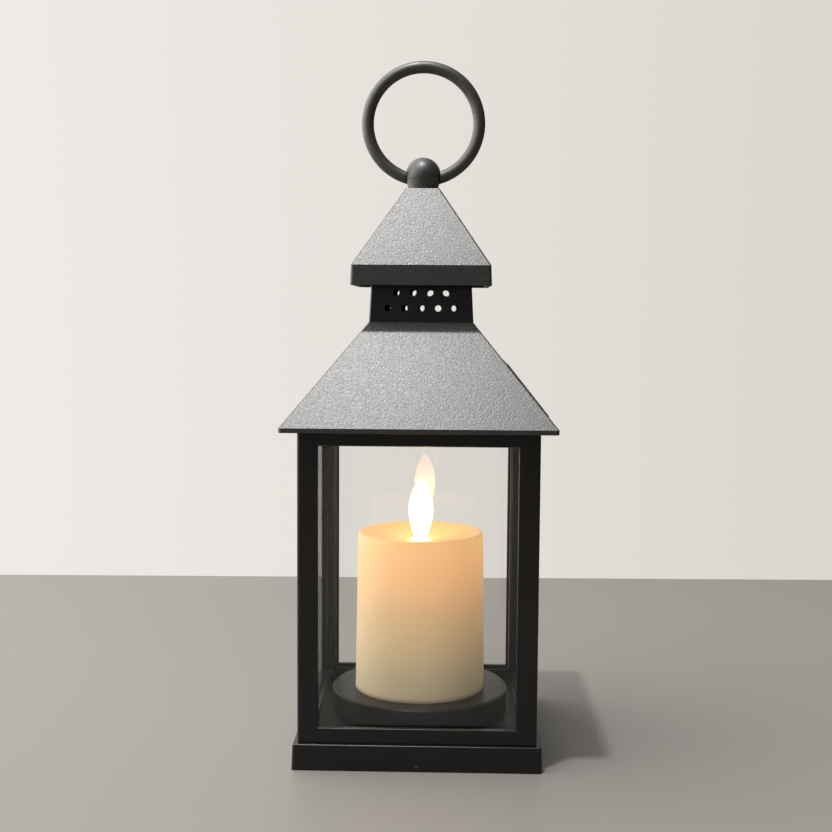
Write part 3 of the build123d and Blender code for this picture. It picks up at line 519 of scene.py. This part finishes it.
def leaf_levels(widest, top):
    """Points round the leaf at each height, from its foot to its tip."""
    bottom = FLAME_PIVOT - FLAME_FOOT
    levels = []
    for i in range(FLAME_ROWS):
        z = bottom + (top - bottom) * i / (FLAME_ROWS - 1)
        t = (z - FLAME_PIVOT) / (top - FLAME_PIVOT)
        if t > 0:
            share = flame_share(t)
        else:
            up_foot = (z - bottom) / FLAME_FOOT
            share = FOOT_SHARE + (FLAME_OUTLINE[0][1] - FOOT_SHARE) * up_foot
        half = widest * share
        thick = min(FLAME_THICK, half)
        bow = FLAME_BOW * math.sin(math.pi * max(0.0, t))
        level = []
        for j in range(FLAME_COLUMNS):
            a = 2 * math.pi * j / FLAME_COLUMNS
            across = math.copysign(abs(math.cos(a)) ** 0.8, math.cos(a))
            level.append((half * across, thick * math.sin(a) - bow * (1 - across * across), z))
        levels.append(level)
    return levels


def stem_levels(low, high):
    """Corners of the upright bar under the leaf."""
    x, y = STEM_HALF
    corners = ((-x, -y), (x, -y), (x, y), (-x, y))
    heights = (low, low + STEM_CHAMFER, high - STEM_CHAMFER, high)
    return [[(*corner, z) for corner in corners] for z in heights]


def disc_levels(radius, low, high):
    """Points round the disc that holds the magnet."""
    chamfer = 0.2 * (high - low)
    edge = 0.9 * radius
    sections = ((edge, low), (radius, low + chamfer), (radius, high - chamfer), (edge, high))
    turns = [2 * math.pi * j / DISC_COLUMNS for j in range(DISC_COLUMNS)]
    return [[(r * math.cos(a), r * math.sin(a), z) for a in turns] for r, z in sections]


def flame():
    """Thin bowed leaf with rounded edges, on its stem and foot."""
    low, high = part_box("flame_leaf")
    points = []
    faces = []
    for levels in (leaf_levels(high.x, high.z - FLAME_INSET),
                   stem_levels(low.z, FLAME_PIVOT - FLAME_FOOT + STEM_CHAMFER),
                   disc_levels(high.y, low.z, low.z + MAGNET_DISC)):
        faces += closed_tube(levels, len(points))
        points += [point for level in levels for point in level]
    piece = mesh_piece("flame", points, faces, flame_look)
    smooth = piece.modifiers.new("soften", "SUBSURF")
    smooth.levels = 1
    smooth.render_levels = 1
    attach(piece, "flame")
    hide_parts("flame_leaf")


candle()
flame()

# ---- gate mark on the plinth -----------------------------------------------------------------------

GATE_HEIGHT = 2.0 * MM
GATE_COLUMNS = 24
GATE_DOME = 0.12 * MM           # how far its middle stands out
GATE_RINGS = ((0.45 * MM, 0.10 * MM), (0.75 * MM, -0.05 * MM))      # radius, how far it stands out
PLINTH_SLOPE = 0.4 / 11.0       # how far the front leans back for each unit of height


def gate_mark():
    """The small disc that the moulding gate leaves on the plinth's front face."""
    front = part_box("base_plinth")[0].y
    points = [(0.0, front + GATE_HEIGHT * PLINTH_SLOPE - GATE_DOME, GATE_HEIGHT)]
    for radius, proud in GATE_RINGS:
        for j in range(GATE_COLUMNS):
            a = 2 * math.pi * j / GATE_COLUMNS
            z = GATE_HEIGHT + radius * math.sin(a)
            points.append((radius * math.cos(a), front + z * PLINTH_SLOPE - proud, z))
    faces = [(0, 1 + j, 1 + (j + 1) % GATE_COLUMNS) for j in range(GATE_COLUMNS)]
    faces += [tuple(1 + k for k in face) for face in ring_faces(2, GATE_COLUMNS)]
    piece = mesh_piece("gate_mark", points, faces, handle)
    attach(piece, "lantern")


gate_mark()

# ---- stage: floor, backdrop, light and camera ------------------------------------------------------

FLOOR_BACK = 0.33               # the floor ends behind the lantern, as a table does
FLOOR_REACH = 1.6
FLOOR_COLOUR = (0.190, 0.178, 0.166)
FLOOR_ROUGHNESS = 0.45
BACKDROP_RADIUS = 4.0
BACKDROP_WIDTH = 1.4            # half the width over which its painted fall of light changes
# Paler on the left than on the right: painted light, as the room is lit from the left.
BACKDROP_LEFT = (0.86, 0.82, 0.78)
BACKDROP_RIGHT = (0.70, 0.67, 0.62)
CAMERA_PLACE = Vector((12.47, -559.87, 192.26)) * MM
CAMERA_HEADING = Vector((-0.0267, 0.9996, 0.0))
CAMERA_PITCH = math.radians(-4.84)
CAMERA_ROLL = math.radians(0.37)
CAMERA_LENS = 54.09
ROOM_BRIGHTEST = (-0.90, 0.05, 0.43)
ROOM_STRENGTH = 4.4
ROOM_FRONT = 0.25               # share of the room's light left behind the camera
ROOM_TONES = [(0.0, (0.022, 0.022, 0.022)), (0.4, (0.055, 0.055, 0.054)), (0.7, (0.36, 0.355, 0.34)),
              (1.0, (1.0, 0.98, 0.94))]
KEY_PLACE = Vector((-0.132, -0.235, 1.177))
KEY_TARGET = Vector((0.0, 0.0, 0.12))
KEY_SIZE = 0.05
KEY_POWER = 9.6
KEY_COLOUR = (1.0, 0.99, 0.98)


def floor_material():
    """Pale matt table top with a faint unevenness in tone."""
    mat, tree, shader = new_material("floor")
    cloud = grain(tree, 4.0, detail=4.0)
    dark = tuple(0.97 * c for c in FLOOR_COLOUR)
    tree.links.new(ramp(tree, cloud, [(0.3, dark), (0.7, FLOOR_COLOUR)]), shader.inputs["Base Color"])
    shader.inputs["Roughness"].default_value = FLOOR_ROUGHNESS
    shader.inputs["Specular IOR Level"].default_value = 0.2
    return mat


def floor():
    """A table top whose back edge is level in the camera's view."""
    skew = -FLOOR_REACH * CAMERA_HEADING.x
    points = [(-FLOOR_REACH, -FLOOR_REACH, 0), (FLOOR_REACH, -FLOOR_REACH, 0),
              (FLOOR_REACH, FLOOR_BACK + skew, 0), (-FLOOR_REACH, FLOOR_BACK - skew, 0)]
    piece = mesh_piece("floor", points, [(0, 1, 2, 3)], floor_material(), smooth=False)


def backdrop():
    """A pale dome seen directly or through the panes, which lights nothing."""
    mesh = bpy.data.meshes.new("backdrop")
    bm = bmesh.new()
    bmesh.ops.create_uvsphere(bm, u_segments=64, v_segments=32, radius=BACKDROP_RADIUS)
    bmesh.ops.reverse_faces(bm, faces=bm.faces)
    bm.to_mesh(mesh)
    bm.free()
    mesh.shade_smooth()
    mat = bpy.data.materials.new("backdrop")
    mat.use_nodes = True
    tree = mat.node_tree
    tree.nodes.clear()
    # Its tone falls from left to right: painted light from the room's brighter left.
    across = spread(tree, axis_of(tree, "X"), -BACKDROP_WIDTH, BACKDROP_WIDTH, 0.0, 1.0)
    tone = ramp(tree, across, [(0.0, BACKDROP_LEFT), (1.0, BACKDROP_RIGHT)])
    glow = add(tree, "ShaderNodeEmission", {"Color": tone, "Strength": 1.0})
    add(tree, "ShaderNodeOutputMaterial", {"Surface": glow.outputs[0]})
    mesh.materials.append(mat)
    piece = bpy.data.objects.new("backdrop", mesh)
    bpy.context.scene.collection.objects.link(piece)
    piece.visible_diffuse = False
    piece.visible_glossy = False
    piece.visible_shadow = False
    piece.visible_volume_scatter = False


def room_light():
    """World light: a pale room, brightest high on the left and dim behind the camera."""
    world = bpy.data.worlds.new("room")
    bpy.context.scene.world = world
    world.use_nodes = True
    tree = world.node_tree
    tree.nodes.clear()
    direction = add(tree, "ShaderNodeTexCoord").outputs["Generated"]
    toward = add(tree, "ShaderNodeVectorMath", {0: direction, 1: ROOM_BRIGHTEST},
                 operation="DOT_PRODUCT").outputs["Value"]
    level = ramp(tree, spread(tree, toward, -0.6, 1.0, 0.0, 1.0), ROOM_TONES)
    ahead = spread(tree, axis_of(tree, "Y", direction), -1.0, -0.5, ROOM_FRONT, 1.0)
    strength = calc(tree, "MULTIPLY", ahead, ROOM_STRENGTH)
    back = add(tree, "ShaderNodeBackground", {"Color": level, "Strength": strength})
    add(tree, "ShaderNodeOutputWorld", {"Surface": back.outputs[0]})


def key_light():
    """The lamp high in front, a little to the left."""
    data = bpy.data.lights.new("key", "AREA")
    data.shape = "SQUARE"
    data.size = KEY_SIZE
    data.energy = KEY_POWER
    data.color = KEY_COLOUR
    lamp = bpy.data.objects.new("key", data)
    bpy.context.scene.collection.objects.link(lamp)
    lamp.location = KEY_PLACE
    lamp.rotation_euler = (KEY_TARGET - KEY_PLACE).to_track_quat("-Z", "Y").to_euler()


def camera():
    """The view from a little above, nearly straight on to the front."""
    forward = CAMERA_HEADING.normalized() * math.cos(CAMERA_PITCH) + Vector((0, 0, math.sin(CAMERA_PITCH)))
    right = forward.cross(Vector((0, 0, 1))).normalized()
    up = right.cross(forward)
    turned_right = right * math.cos(CAMERA_ROLL) + up * math.sin(CAMERA_ROLL)
    turned_up = up * math.cos(CAMERA_ROLL) - right * math.sin(CAMERA_ROLL)
    data = bpy.data.cameras.new("camera")
    data.lens = CAMERA_LENS
    data.sensor_width = 36.0
    data.clip_start = 0.01
    cam = bpy.data.objects.new("camera", data)
    bpy.context.scene.collection.objects.link(cam)
    turn = Matrix((turned_right, turned_up, -forward)).transposed()
    cam.matrix_world = Matrix.Translation(CAMERA_PLACE) @ turn.to_4x4()
    bpy.context.scene.camera = cam


floor()
backdrop()
room_light()
key_light()
camera()
bpy.context.scene.view_settings.view_transform = "Standard"
